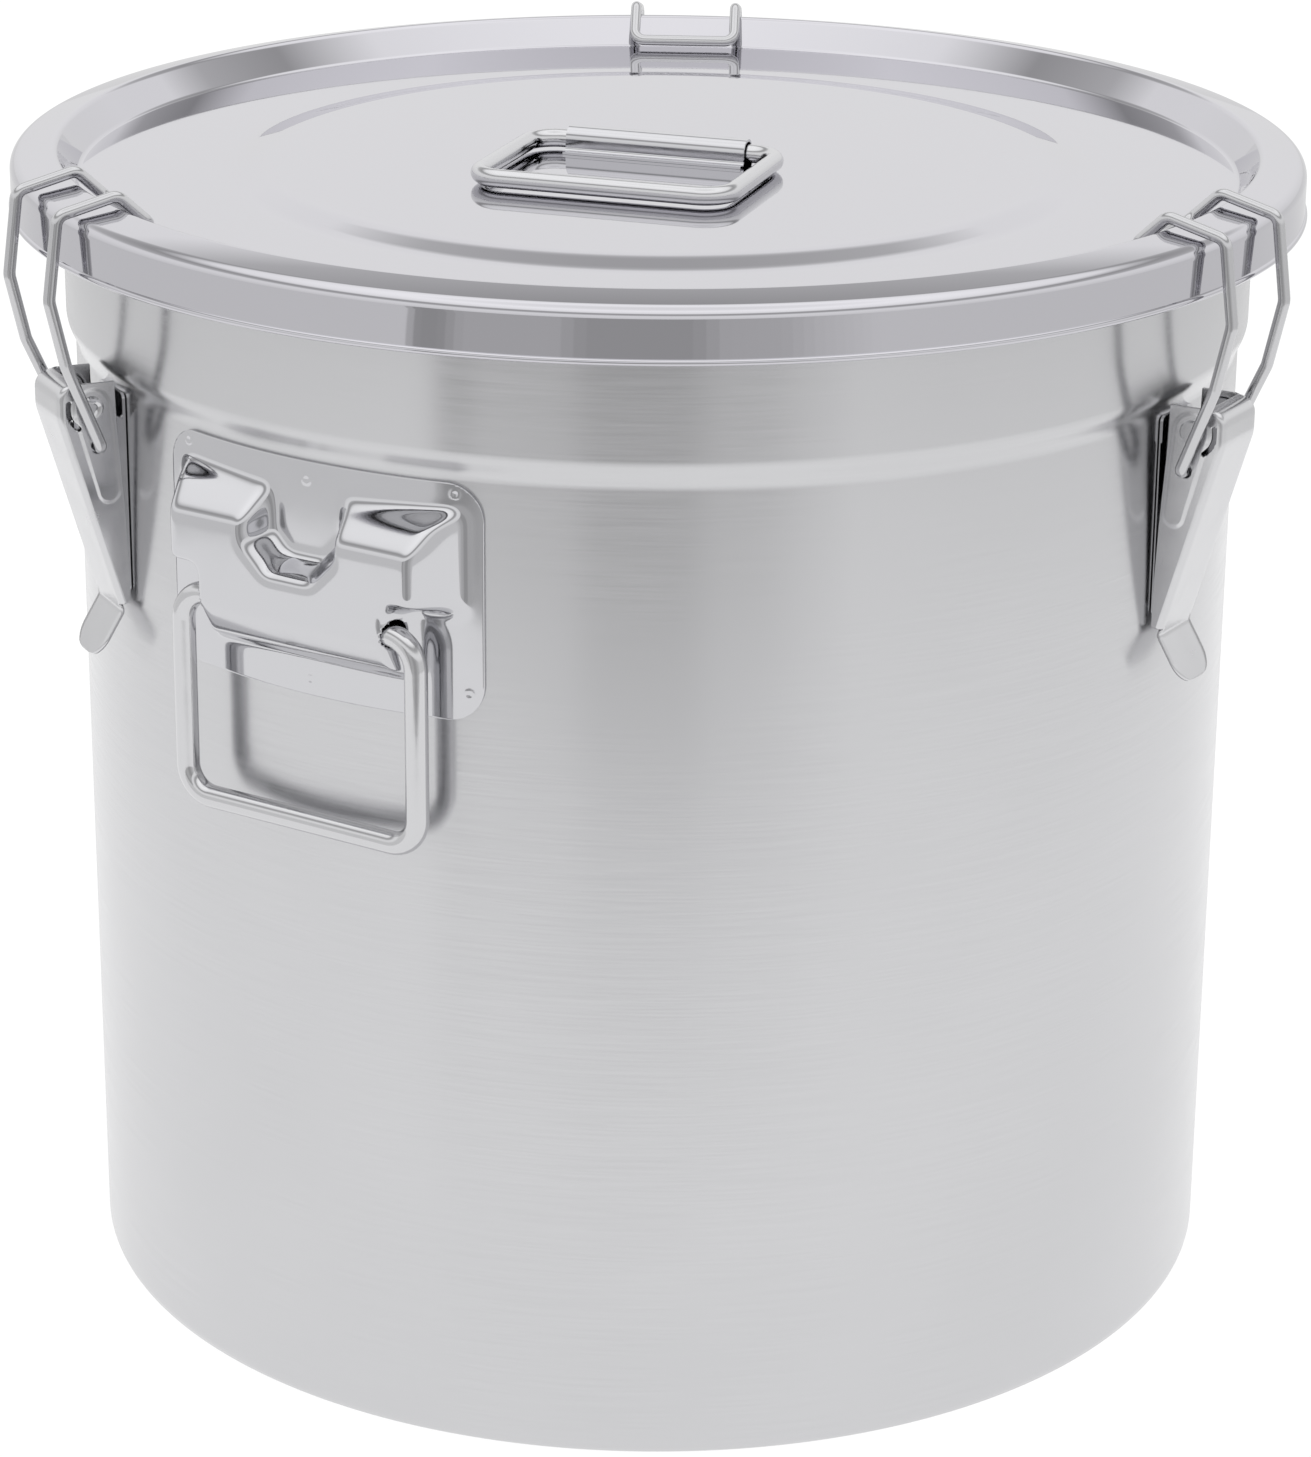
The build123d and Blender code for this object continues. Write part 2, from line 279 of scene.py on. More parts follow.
def turned(name, section, material, steps=384, axes=CAN_AXES):
    """Closed section of (radius, height) points carried round an axis in equal steps.
    Axes are the origin, two directions across the axis and the axis itself."""
    origin, across, beside, along = (np.array(a, float) for a in axes)
    angle = np.linspace(0, 2 * math.pi, steps, endpoint=False)[:, None, None]
    r, z = section[None, :, 0, None], section[None, :, 1, None]
    points = origin + r * np.cos(angle) * across + r * np.sin(angle) * beside + z * along
    faces = grid_faces(steps, len(section), wrap_rows=True, wrap_columns=True)
    return mesh_piece(name, points.reshape(-1, 3), faces, material)


BRUSH_PITCH, BRUSH_LENGTH = 0.00035, 0.040      # metres, up the wall and round it


def brushed_stainless():
    """Stainless, belt brushed round the drum: the fine lines draw out what it mirrors."""
    made, tree = blank_material("brushed stainless steel")
    place = add_node(tree, "ShaderNodeTexCoord")
    line_scale = (1 / BRUSH_LENGTH, 1 / BRUSH_LENGTH, 1 / BRUSH_PITCH / 2)
    stretch = add_node(
        tree,
        "ShaderNodeMapping",
        inputs={"Vector": place.outputs["Object"], "Scale": line_scale},
    )
    lines = add_node(
        tree,
        "ShaderNodeTexNoise",
        inputs={"Vector": stretch.outputs[0], "Scale": 1.0, "Detail": 3.0, "Roughness": 0.6},
    )
    cloud = add_node(
        tree,
        "ShaderNodeTexNoise",
        inputs={"Vector": place.outputs["Object"], "Scale": 9.0, "Detail": 2.0},
    )
    grain = add_node(tree, "ShaderNodeMapRange", inputs={
        "Value": lines.outputs["Fac"], "From Min": 0.3, "From Max": 0.7, "To Min": 0.20, "To Max": 0.27})
    tone = add_node(tree, "ShaderNodeMix", {"data_type": "RGBA"}, inputs={
        0: cloud.outputs["Fac"], 6: paint("#C8C8CA"), 7: paint("#CFCFD1")})
    relief = add_node(tree, "ShaderNodeBump", inputs={
        "Height": lines.outputs["Fac"], "Distance": 0.00001, "Strength": 0.25})
    around = add_node(tree, "ShaderNodeTangent", {"direction_type": "RADIAL", "axis": "Z"})
    skin = add_node(
        tree,
        "ShaderNodeBsdfPrincipled",
        inputs={
            "Base Color": tone.outputs[2],
            "Metallic": 1.0,
            "Roughness": grain.outputs[0],
            "Anisotropic": 0.85,
            "Anisotropic Rotation": 0.25,
            "Tangent": around.outputs[0],
            "Normal": relief.outputs[0],
        },
    )
    add_node(tree, "ShaderNodeOutputMaterial", inputs={"Surface": skin.outputs[0]})
    return made


HAZE_SIZE = 0.012       # metres, between patches that are buffed a little more and less


def polished_stainless(name, tone, roughness, ripple, ripple_size):
    """Buffed stainless: near mirror, with a faint low ripple left by pressing and buffing."""
    made, tree = blank_material(name)
    place = add_node(tree, "ShaderNodeTexCoord")
    waves = add_node(tree, "ShaderNodeTexNoise", inputs={
        "Vector": place.outputs["Object"], "Scale": 1 / ripple_size, "Detail": 2.0})
    haze = add_node(tree, "ShaderNodeTexNoise", inputs={
        "Vector": place.outputs["Object"], "Scale": 1 / HAZE_SIZE, "Detail": 4.0})
    rough = add_node(tree, "ShaderNodeMapRange", inputs={
        "Value": haze.outputs["Fac"], "From Min": 0.3, "From Max": 0.7,
        "To Min": roughness * 0.8, "To Max": roughness * 1.25})
    relief = add_node(tree, "ShaderNodeBump", inputs={
        "Height": waves.outputs["Fac"], "Distance": ripple, "Strength": 1.0})
    skin = add_node(tree, "ShaderNodeBsdfPrincipled", inputs={
        "Base Color": paint(tone), "Metallic": 1.0,
        "Roughness": rough.outputs[0], "Normal": relief.outputs[0]})
    add_node(tree, "ShaderNodeOutputMaterial", inputs={"Surface": skin.outputs[0]})
    return made


def finish_piece(piece, body, slot, *nodes):
    """The calls every piece ends with: its body and the CAD nodes it stands for. Slot is not used."""
    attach(piece, body)
    if nodes:
        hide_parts(*nodes)


DRUM_R, COLLAR_R, SHEET = 200.0, 203.0, 1.0
BASE_HEIGHT, BASE_CORNER = 12.0, 7.0
MOUTH_FOOT = 386.0
STEP_TOP, STEP_FOOT, STEP_BEND = 343.2, 337.2, 10
brushed = brushed_stainless()

drum_path = rounded(
    [(COLLAR_R, MOUTH_FOOT), (COLLAR_R, STEP_TOP), (DRUM_R, STEP_FOOT), (DRUM_R, BASE_HEIGHT)],
    [STEP_BEND, STEP_BEND],
    steps=14,
)
drum = turned("drum", sheet_section(drum_path, SHEET), brushed)
finish_piece(drum, "can", "brushed_steel", "can_shell")


# ---------------------------------------------------------------- mouth
# Flanged ring welded to the drum's upper band, out of sight under the lid's skirt; the
# lid's silicone ring sits on it. Same sheet and brushing as the drum.

FLANGE_Z, FLANGE_R, FLANGE_LIP = 391.7, 216.4, 2.5
LIP_BEND, FLANGE_BEND = 1.2, 3.5
mouth_path = rounded(
    [(FLANGE_R, FLANGE_Z - FLANGE_LIP), (FLANGE_R, FLANGE_Z), (COLLAR_R, FLANGE_Z), (COLLAR_R, MOUTH_FOOT)],
    [LIP_BEND, FLANGE_BEND],
)
mouth = turned("mouth_ring", sheet_section(mouth_path, SHEET), brushed)
finish_piece(mouth, "can", "brushed_steel", "can_mouth")


# ---------------------------------------------------------------- base
# Dish pressed from the same sheet, with a round corner, welded flush to the drum.

base_path = rounded([(DRUM_R, BASE_HEIGHT), (DRUM_R, 0), (0, 0)], [BASE_CORNER], steps=14)
base = turned("base", sheet_section(base_path, SHEET), brushed)
finish_piece(base, "can", "brushed_steel", "can_base")


# ---------------------------------------------------------------- handle plates
# 1 mm stainless plate pressed on a die and spot welded at six points; the housing in its
# middle holds the ring's bar. Buffed after pressing, so its rounded creases catch light.

def about(angle, across, out, up):
    """Point given round the can: across its face, out from its axis, and up."""
    a = math.radians(angle)
    across, out, up = np.broadcast_arrays(across, out, up)
    return np.stack(
        [out * math.sin(a) + across * math.cos(a), -out * math.cos(a) + across * math.sin(a), up], -1
    )


def softened(field, width):
    """Field blurred by a bell curve of this width in cells, along rows and then columns."""
    reach = np.arange(-3 * math.ceil(width), 3 * math.ceil(width) + 1)
    bell = np.exp(-(reach / width) ** 2 / 2)
    bell /= bell.sum()
    for axis in (0, 1):
        field = np.apply_along_axis(np.convolve, axis, field, bell, "same")
    return field


def kept_faces(keep):
    """Quads of a grid that have at least one corner to keep."""
    faces = grid_faces(*keep.shape)
    return faces[keep.reshape(-1)[faces].any(1)]


def sheet_piece(name, points, faces, material):
    """Open surface made into sheet: the points its faces use, then its thickness added inwards."""
    used, faces = np.unique(faces, return_inverse=True)
    piece = mesh_piece(name, points[used], faces.reshape(-1, 4), material)
    wall = piece.modifiers.new("sheet", "SOLIDIFY")
    wall.thickness = SHEET * MM
    wall.offset = -1.0
    return piece


polished_sheet = polished_stainless("buffed stainless sheet", "#CACACD", 0.07, 0.00004, 0.030)

PLATE_W, PLATE_LOW, PLATE_HIGH, PLATE_CORNER = 121.6, 257.0, 334.5, 12.0
WELD_GAP = 0.05
PLATE_OUT = DRUM_R + WELD_GAP + SHEET
FOOT, FACE = 190.0, 212.5
PROFILE_UP = [269.5, 271, 285, 314, 324, 324.5]
PROFILE_OUT = [FOOT, 204, FACE, FACE, 201, FOOT]
# each limit of the housing's outline, and the width of the slanting wall inside it
NECK_HALF_W, NECK_WALL = 39.5, 2
LOBE_HALF_W, LOBE_WALL, LOBE_LOW, LOBE_LOW_WALL = 55, 8, 293, 3
SCOOP_HALF_W, SCOOP_WALL, SCOOP_LOW, SCOOP_LOW_WALL = 13, 4, 305, 6
SCOOP_TIP, SCOOP_TIP_WALL = 298.5, 8
BAR_OUT, BAR_UP, BAR_HOLE, BAR_HOLE_FROM = 207.0, 286.3, 4.9, 33
PLATE_CELL = 0.55
CREASE = 1.7
SPOTS = [(-52, 331), (0, 328.5), (52, 331), (-56, 268), (0, 262), (56, 266)]
SPOT_DEPTH, SPOT_RIM_R, SPOT_RIM_W, SPOT_DENT_R = 0.08, 1.2, 0.45, 0.7


def housing_height(across, up):
    """Height of the pressed housing: the lower of its side profile and its sloped outline.
    The outline shrinks from foot to face, so each limit says how far out a point still lies."""
    x = np.abs(across)
    profile = np.interp(up, PROFILE_UP, PROFILE_OUT)
    neck = (NECK_HALF_W - x) / NECK_WALL
    lobe = np.minimum((LOBE_HALF_W - x) / LOBE_WALL, (up - LOBE_LOW) / LOBE_LOW_WALL)
    vee = np.maximum((SCOOP_LOW - up) / SCOOP_LOW_WALL, (SCOOP_TIP + x - up) / SCOOP_TIP_WALL)
    scoop = np.maximum((x - SCOOP_HALF_W) / SCOOP_WALL, vee)
    share = np.clip(np.minimum(np.maximum(neck, lobe), scoop), 0, 1)
    return np.minimum(profile, FOOT + (FACE - FOOT) * share)


def handle_plate(name, angle):
    """Grid across the plate and up it; its distance out is the drum's curve plus the housing."""
    across, up = np.meshgrid(
        np.linspace(-PLATE_W / 2, PLATE_W / 2, round(PLATE_W / PLATE_CELL)),
        np.linspace(PLATE_LOW, PLATE_HIGH, round((PLATE_HIGH - PLATE_LOW) / PLATE_CELL)),
    )
    flat = np.sqrt(PLATE_OUT ** 2 - across ** 2)
    raised = softened(np.clip(housing_height(across, up) - flat, 0, None), CREASE / PLATE_CELL)
    for x, z in SPOTS:
        away = np.hypot(across - x, up - z)
        rim = SPOT_DEPTH * np.exp(-((away - SPOT_RIM_R) / SPOT_RIM_W) ** 2)
        raised += rim - SPOT_DEPTH * np.exp(-(away / SPOT_DENT_R) ** 2)
    half_w, half_h = PLATE_W / 2 - PLATE_CORNER, (PLATE_HIGH - PLATE_LOW) / 2 - PLATE_CORNER
    middle = (PLATE_LOW + PLATE_HIGH) / 2
    over_x = np.clip(np.abs(across) - half_w, 0, None)
    over_z = np.clip(np.abs(up - middle) - half_h, 0, None)
    away = np.hypot(over_x, over_z)
    corner = (over_x > 0) & (over_z > 0) & (away > PLATE_CORNER)
    pull = np.where(corner, PLATE_CORNER / np.maximum(away, 1e-6), 1)
    across = np.where(corner, np.sign(across) * (half_w + over_x * pull), across)
    up = np.where(corner, middle + np.sign(up - middle) * (half_h + over_z * pull), up)
    out = np.sqrt(PLATE_OUT ** 2 - across ** 2) + raised
    from_bar = np.hypot(out - BAR_OUT, up - BAR_UP)
    hole = (from_bar < BAR_HOLE) & (np.abs(across) > BAR_HOLE_FROM)
    push = np.where(hole, BAR_HOLE / np.maximum(from_bar, 1e-3), 1)
    out = BAR_OUT + (out - BAR_OUT) * push
    up = BAR_UP + (up - BAR_UP) * push
    points = about(angle, across, out, up).reshape(-1, 3)
    return sheet_piece(name, points, kept_faces(~(corner | hole)), polished_sheet)


HANDLES = {"left": -90.0, "right": 90.0}
for side, angle in HANDLES.items():
    plate = handle_plate(f"handle_plate_{side}_pressed", angle)
    finish_piece(plate, "can", "polished_steel", f"handle_plate_{side}")


# ---------------------------------------------------------------- handle rings
# Stainless rod bent into a ring and butt welded inside the housing. Polished by tumbling,
# so it is nearly a mirror with fine drawing lines left along it.

def tube(name, path, radius, material, closed=False, sides=28):
    """Circle carried along a path; its first direction is turned only as far as the path bends.
    An open tube gets a ring of no size at each end, which closes it."""
    if closed:
        ahead = np.roll(path, -1, 0) - np.roll(path, 1, 0)
    else:
        ahead = np.gradient(path, axis=0)
    ahead /= np.linalg.norm(ahead, axis=1)[:, None]
    flattest = np.linalg.svd(path - path.mean(0))[2][-1]
    sideways = []
    for direction in ahead:
        flattest = flattest - direction * (flattest @ direction)
        flattest = flattest / np.linalg.norm(flattest)
        sideways.append(flattest)
    sideways = np.array(sideways)
    upright = np.cross(ahead, sideways)
    size = np.full(len(path), radius)
    if not closed:
        ends = [0, *range(len(path)), len(path) - 1]
        path, sideways, upright = path[ends], sideways[ends], upright[ends]
        size = size[ends] * np.array([0] + [1] * (len(path) - 2) + [0])
    turn = np.linspace(0, 2 * math.pi, sides, endpoint=False)[None, :, None]
    circle = np.cos(turn) * sideways[:, None] + np.sin(turn) * upright[:, None]
    points = path[:, None] + size[:, None, None] * circle
    faces = grid_faces(len(path), sides, wrap_rows=closed, wrap_columns=True)
    return mesh_piece(name, points.reshape(-1, 3), faces, material, sharp=50.0)


def loop_path(corners, bend):
    """Closed path through the corners, starting in the middle of the first side."""
    start = (corners[0] + corners[-1]) / 2
    return rounded([start, *corners, start], [bend] * len(corners), steps=14)[:-1]


polished_rod = polished_stainless("polished stainless rod", "#CDCDCF", 0.12, 0.00002, 0.009)

RING_D, RING_HALF_W, RING_LOW, RING_HIGH, RING_BEND = 7.5, 45.7, 216.5, 286.0, 10.0
for side, angle in HANDLES.items():
    ring_corners = about(
        angle,
        np.array([-1, 1, 1, -1]) * RING_HALF_W,
        BAR_OUT,
        np.array([RING_HIGH, RING_HIGH, RING_LOW, RING_LOW]),
    )
    ring = tube(
        f"handle_ring_{side}_rod",
        loop_path(ring_corners, RING_BEND),
        RING_D / 2,
        polished_rod,
        closed=True,
    )
    finish_piece(ring, f"handle_{side}", "polished_wire", f"handle_ring_{side}")


# ---------------------------------------------------------------- latch bases
# Folded brackets spot welded to the drum. They are flat sheet with plain folds, so the CAD
# shape is kept and only gets its finish.

LATCHES = {"front": 0.0, "left": -120.0, "right": 120.0}
for place in LATCHES:
    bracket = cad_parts[f"latch_base_{place}"]
    for material_slot in bracket.material_slots:
        material_slot.link = "OBJECT"
        material_slot.material = polished_sheet


# ---------------------------------------------------------------- rivets
# Tubular steel rivets: a flat head on one side of the lever, a rolled hollow end on the other.

PIVOT = np.array([212.0, 333.0])
HOOK = np.array([210.3, 320.0])
RIVET_SECTION = np.array([
    (0, -13.1), (3.5, -13.1), (3.9, -12.8), (3.9, -12.3), (2.0, -12.3), (2.0, 12.3), (3.6, 12.3),
    (3.9, 12.7), (3.3, 13.1), (2.2, 13.0), (1.5, 12.6), (1.5, 12.0), (0, 12.0),
])
for place, angle in LATCHES.items():
    centre = about(angle, 0, *PIVOT)
    rivet_axes = (centre, about(angle, 0, 1, 0), (0, 0, 1), about(angle, 1, 0, 0))
    rivet = turned(f"rivet_{place}", RIVET_SECTION, polished_rod, steps=48, axes=rivet_axes)
    finish_piece(rivet, "can", "polished_steel", f"latch_rivet_{place}")


# ---------------------------------------------------------------- latch levers
# 1 mm stainless folded into a channel that narrows to a finger tab. Each side has a low
# boss round the rivet, a crescent slot outside it and the hole that the bail hooks into.

satin_sheet = polished_stainless("satin stainless sheet", "#CFCFD1", 0.22, 0.00002, 0.020)
LEVER_HALF_W, FOLD = 12.0, 2.0
LEVER_BACK = [(204, 341), (203.4, 322), (202, 300), (201.2, 280), (201.0, 265)]
LEVER_FRONT = rounded([(217, 341.3), (223.4, 340.5), (223.4, 329.7), (204.4, 264.1)], [5, 12])
LEVER_ROWS, SIDE_COLUMNS, FOLD_COLUMNS, FRONT_COLUMNS = 170, 38, 6, 12
BOSS_TOP, BOSS_FOOT, BOSS_HEIGHT, BOSS_EDGE = 6.6, 4.0, 0.28, 0.8
BOSS_END = np.array([207.0, 304.0])
SLOT_R, SLOT_HALF_W = 8.0, 0.85
SLOT_TILT, SLOT_SPREAD = math.radians(-20), math.radians(36)
HOOK_HOLE = 2.6
TAB_DROP, TAB_BEND, TAB_ROWS = np.array([-0.7, -2.3]), 2.0, 40
TAB_LENGTH, TAB_LEAN, TAB_HALF_W, TAB_END = 18.0, math.radians(32), 11.0, 8.0


def along(path, shares):
    """Points at these shares of a path's length."""
    path = np.asarray(path, float)
    length = np.concatenate([[0], np.cumsum(np.linalg.norm(np.diff(path, axis=0), axis=1))])
    return np.stack([np.interp(shares, length / length[-1], path[:, i]) for i in (0, 1)], -1)


def opened(place, line, radius):
    """Points nearer than radius to the nearest point of a line, moved out onto its edge."""
    away = place - line
    distance = np.linalg.norm(away, axis=-1)
    inside = distance < radius
    edge = line + away * (radius / np.maximum(distance, 1e-6))[..., None]
    return np.where(inside[..., None], edge, place), inside


def boss_height(place):
    """Low tongue round the rivet: full height inside, falling off in a narrow edge."""
    run = BOSS_END - PIVOT
    share = np.clip((place - PIVOT) @ run / (run @ run), 0, 1)
    edge = BOSS_TOP + (BOSS_FOOT - BOSS_TOP) * share
    away = np.linalg.norm(place - PIVOT - share[..., None] * run, axis=-1)
    return BOSS_HEIGHT * np.clip((edge - away) / BOSS_EDGE, 0, 1)


def lever_channel():
    """Rows run from the back edge of one side, round two folds, to that of the other.
    Gives how far across each point is, its place out and up, and whether it is kept."""
    shares = np.linspace(0, 1, LEVER_ROWS)
    back, front = along(LEVER_BACK, shares), along(LEVER_FRONT, shares)
    depth = np.linalg.norm(front - back, axis=1)[:, None]
    outward = (front - back) / depth
    fold = np.minimum(FOLD, depth * 0.6)
    deep = np.linspace(0, 1, SIDE_COLUMNS)[None] * (depth - fold)
    turn = np.linspace(0, math.pi / 2, FOLD_COLUMNS + 1)[None, 1:]
    fold_across = LEVER_HALF_W - fold + fold * np.cos(turn)
    fold_deep = depth - fold + fold * np.sin(turn)
    flat = np.linspace(1, 0, FRONT_COLUMNS // 2 + 1)[None, 1:] * (LEVER_HALF_W - fold)
    across = np.concatenate([np.full_like(deep, LEVER_HALF_W), fold_across, flat], 1)
    deep = np.concatenate([deep, fold_deep, np.broadcast_to(depth, flat.shape)], 1)
    place = back[:, None] + outward[:, None] * deep[..., None]
    side = np.arange(across.shape[1]) < SIDE_COLUMNS
    across = across + boss_height(place) * side
    from_pivot = place - PIVOT
    bearing = np.arctan2(from_pivot[..., 1], from_pivot[..., 0])
    bearing = np.clip(bearing, SLOT_TILT - SLOT_SPREAD, SLOT_TILT + SLOT_SPREAD)
    slot_line = PIVOT + SLOT_R * np.stack([np.cos(bearing), np.sin(bearing)], -1)
    cut, slot = opened(place, slot_line, SLOT_HALF_W)
    cut, hole = opened(cut, HOOK, HOOK_HOLE)
    slot, hole = slot & side, hole & side
    place = np.where((slot | hole)[..., None], cut, place)
    keep = ~(slot | hole)
    across = np.concatenate([across, -across[:, -2::-1]], 1)
    place = np.concatenate([place, place[:, -2::-1]], 1)
    keep = np.concatenate([keep, keep[:, -2::-1]], 1)
    return across, place, keep


def lever_tab(foot):
    """Finger tab that carries on from the front's lower edge: it bends out, widens to its full
    width and ends in a round. Foot is how far across each point of that edge is."""
    bend = LEVER_FRONT[-1] + TAB_DROP
    tip = bend + TAB_LENGTH * np.array([math.sin(TAB_LEAN), -math.cos(TAB_LEAN)])
    tab_path = rounded([LEVER_FRONT[-1], bend, tip], [TAB_BEND])
    line = along(tab_path, np.linspace(0, 1, TAB_ROWS))
    length = np.linspace(0, np.linalg.norm(np.diff(tab_path, axis=0), axis=1).sum(), TAB_ROWS)
    into_end = np.clip(TAB_END - (length[-1] - length), 0, None)
    half = TAB_HALF_W - TAB_END + np.sqrt(TAB_END ** 2 - into_end ** 2)
    half = np.minimum(half, LEVER_HALF_W - FOLD + length)
    foot_half = np.abs(foot).max()
    half[0] = foot_half
    return half[:, None] * (foot / foot_half), line[:, None]


def latch_lever(name, angle):
    """Channel and tab as one sheet; the tab's first row lies on the channel's last."""
    across, place, keep = lever_channel()
    first = SIDE_COLUMNS + FOLD_COLUMNS - 1
    foot = across[-1, first:-first]
    tab_across, tab_place = lever_tab(foot)
    channel = about(angle, across, place[..., 0], place[..., 1])
    tab = about(angle, tab_across, tab_place[..., 0], tab_place[..., 1])
    points = np.concatenate([channel.reshape(-1, 3), tab.reshape(-1, 3)])
    faces = np.concatenate([kept_faces(keep), grid_faces(TAB_ROWS, len(foot)) + keep.size])
    return sheet_piece(name, points, faces, satin_sheet)


for place, angle in LATCHES.items():
    lever = latch_lever(f"latch_lever_{place}_folded", angle)
    finish_piece(lever, f"lever_{place}", "polished_steel", f"latch_lever_{place}")


# ---------------------------------------------------------------- latch bails
# Hard-drawn stainless spring wire, 4 mm, bent cold; its two ends hook into the lever.

spring_wire = polished_stainless("drawn stainless spring wire", "#C6C6C8", 0.14, 0.00001, 0.006)
WIRE_R = 2.0
BAIL_HALF_W, PIN_HALF_W, PIN_TIP = 19.0, 16.0, 11.0
BAIL_RUN = [(192.1, 393.25), (203.3, 404.0), (223.7, 399.3), (227.5, 372.0), (222.7, 350.0)]
BAIL_BENDS = [3.0, 8.0, 8.0, 4.0, 4.0]
PIN_BENDS = [4.0, 4.0]
for place, angle in LATCHES.items():
    leg = [(BAIL_HALF_W, r, z) for r, z in BAIL_RUN]
    leg += [(PIN_HALF_W, *HOOK), (PIN_TIP, *HOOK)]
    whole = [(-x, r, z) for x, r, z in reversed(leg)] + leg
    corners = [about(angle, *point) for point in whole]
    bends = BAIL_BENDS + PIN_BENDS + BAIL_BENDS[::-1]
    bail = tube(f"latch_bail_{place}_wire", rounded(corners, bends, steps=12), WIRE_R, spring_wire)
    finish_piece(bail, f"bail_{place}", "polished_wire", f"latch_bail_{place}")


# ---------------------------------------------------------------- lid
# 0.8 mm stainless pressed in one blow: raised disc, recessed panel, channel rim and a
# skirt with a rolled hem. Mirror-polished on the outside.

mirror_sheet = polished_stainless("mirror-polished stainless sheet", "#C9C8CD", 0.035, 0.00003, 0.060)
LID_SHEET, LID_R = 0.8, 220.0
DISC_R, DISC_Z = 134, 392.5
PANEL_IN_R, PANEL_OUT_R, PANEL_Z = 147, 197.5, 390.0
CREST_R, CREST_Z, SHOULDER_Z = 204.6, 400.55, 397.6
LID_BENDS = [40, 40, 2, 2.5, 4.5]
HEM_Z, HEM_R, HEM_FROM, HEM_TO = 381.3, 1.1, math.radians(75), math.radians(-245)
lid_path = rounded(
    [
        (0, DISC_Z),
        (DISC_R, DISC_Z),
        (PANEL_IN_R, PANEL_Z),
        (PANEL_OUT_R, PANEL_Z),
        (CREST_R, CREST_Z),
        (LID_R, SHOULDER_Z),
        (LID_R, HEM_Z + HEM_R),
    ],
    LID_BENDS,
    steps=16,
)
hem_turn = np.linspace(HEM_FROM, HEM_TO, 24)
hem = np.stack([LID_R - HEM_R / 4 + HEM_R * np.cos(hem_turn), HEM_Z + HEM_R * np.sin(hem_turn)], -1)
lid_sheet = sheet_section(lid_path, LID_SHEET)
lid_section = np.concatenate([lid_sheet[:len(lid_path)], hem, lid_sheet[len(lid_path):]])
lid = turned("lid", lid_section, mirror_sheet)
finish_piece(lid, "lid", "polished_steel", "lid_shell")


# ---------------------------------------------------------------- gasket
# Moulded ring of white silicone, pressed into the lid's channel.

MOULD_GRAIN = 0.0004        # metres


def moulded_silicone():
    """White silicone rubber: soft sheen, light passes a little way in, fine mould texture."""
    made, tree = blank_material("white silicone rubber")
    place = add_node(tree, "ShaderNodeTexCoord")
    dust = add_node(tree, "ShaderNodeTexNoise", inputs={
        "Vector": place.outputs["Object"], "Scale": 1 / MOULD_GRAIN, "Detail": 3.0})
    relief = add_node(tree, "ShaderNodeBump", inputs={
        "Height": dust.outputs["Fac"], "Distance": 0.00001, "Strength": 0.6})
    skin = add_node(tree, "ShaderNodeBsdfPrincipled", inputs={
        "Base Color": paint("#ECEBE7"), "Roughness": 0.5, "IOR": 1.41,
        "Subsurface Weight": 0.15, "Subsurface Radius": (0.003, 0.003, 0.003), "Normal": relief.outputs[0]})
    add_node(tree, "ShaderNodeOutputMaterial", inputs={"Surface": skin.outputs[0]})
    return made


GASKET_Z, GASKET_BEND = 393.0, 0.7
GASKET_START = (212, GASKET_Z)
gasket_section = rounded(
    [GASKET_START, (217.4, GASKET_Z), (217.4, 395.8), (206.9, 398.0), (206.5, GASKET_Z), GASKET_START],
    [GASKET_BEND] * 4,
)[:-1]
gasket = turned("gasket_ring", gasket_section, moulded_silicone(), steps=256)
finish_piece(gasket, "lid", "gasket_rubber", "lid_gasket")


# ---------------------------------------------------------------- lid handle sleeve
# Strip of the lid's sheet arched over the handle's rod and welded down along two feet.

LID_HANDLE_TURN = math.radians(104.3)
SLEEVE_L, SLEEVE_FOOT, SLEEVE_TOP = 64.0, 393.35, 401.0
FEET_HALF_W, ARCH_HALF_W, CROWN_HALF_W = 8.2, 5.1, 4.6
FOOT_BEND, CROWN_BEND = 1.2, 4.2


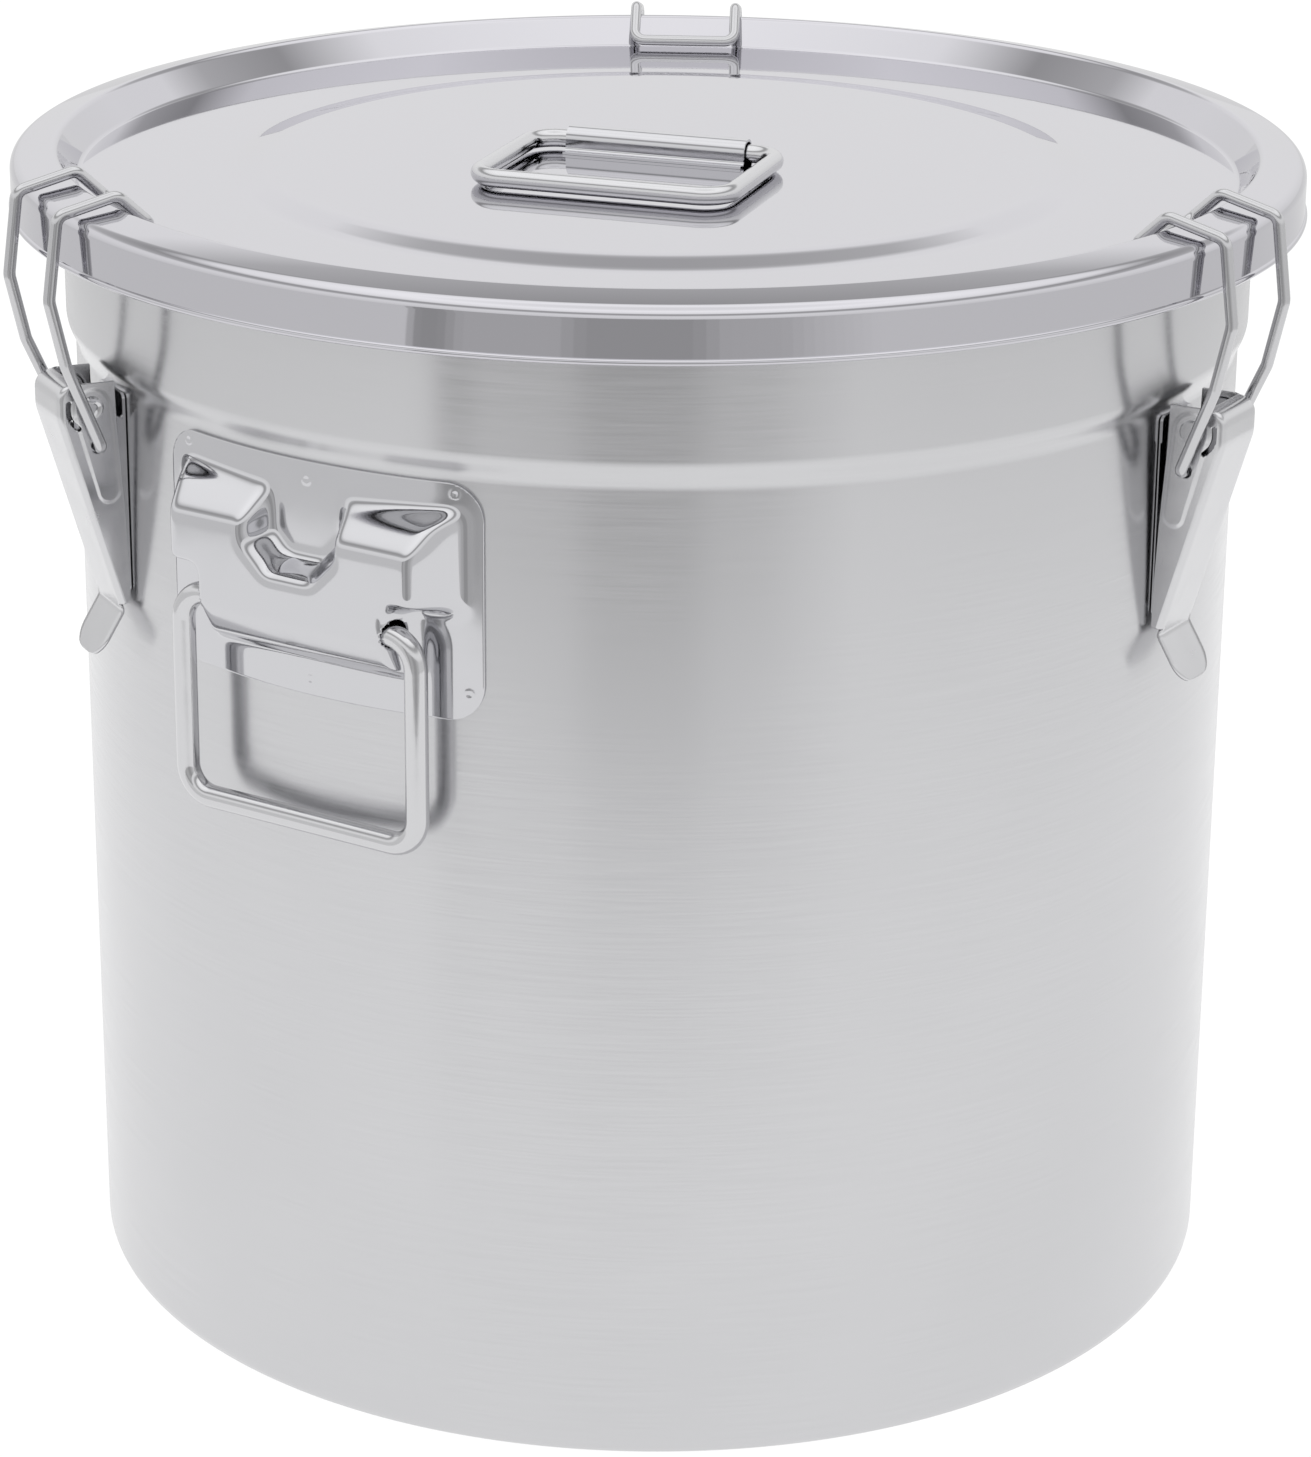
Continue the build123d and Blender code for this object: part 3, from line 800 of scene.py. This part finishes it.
def on_lid(lengthways, sideways, up):
    """Point given from the lid's centre: along the sleeve, across it, and up."""
    lengthways, sideways, up = np.broadcast_arrays(lengthways, sideways, up)
    c, s = math.cos(LID_HANDLE_TURN), math.sin(LID_HANDLE_TURN)
    return np.stack([lengthways * c - sideways * s, lengthways * s + sideways * c, up], -1)


arch = rounded(
    [
        (-FEET_HALF_W, SLEEVE_FOOT),
        (-ARCH_HALF_W, SLEEVE_FOOT),
        (-CROWN_HALF_W, SLEEVE_TOP),
        (CROWN_HALF_W, SLEEVE_TOP),
        (ARCH_HALF_W, SLEEVE_FOOT),
        (FEET_HALF_W, SLEEVE_FOOT),
    ],
    [FOOT_BEND, CROWN_BEND, CROWN_BEND, FOOT_BEND],
    steps=14,
)
arch_section = sheet_section(arch, LID_SHEET)
stations = np.linspace(-SLEEVE_L / 2, SLEEVE_L / 2, 9)
sleeve_points = on_lid(stations[:, None], arch_section[None, :, 0], arch_section[None, :, 1])
sleeve_faces = grid_faces(len(stations), len(arch_section), wrap_columns=True)
count = len(arch_section)
i = np.arange(count // 2 - 1)
end_cap = np.stack([i, i + 1, count - 2 - i, count - 1 - i], -1)
last = (len(stations) - 1) * count
sleeve_faces = np.concatenate([sleeve_faces, end_cap[:, ::-1], end_cap + last])
sleeve = mesh_piece("lid_handle_sleeve_arch", sleeve_points.reshape(-1, 3), sleeve_faces, polished_sheet)
finish_piece(sleeve, "lid", "polished_steel", "lid_handle_sleeve")


# ---------------------------------------------------------------- lid handle
# Stainless rod bent into a loop, one long side captive in the sleeve, lying on the lid.

LID_ROD_D, LID_ROD_Z, LOOP_HALF, LOOP_REACH, LOOP_BEND = 6.3, 396.3, 44.1, 64.0, 10.0
loop_corners = on_lid(
    np.array([-1, 1, 1, -1]) * LOOP_HALF, np.array([0, 0, 1, 1]) * LOOP_REACH, LID_ROD_Z
)
handle = tube(
    "lid_handle_loop", loop_path(loop_corners, LOOP_BEND), LID_ROD_D / 2, polished_rod, closed=True
)
finish_piece(handle, "lid_handle", "polished_wire", "lid_handle_ring")
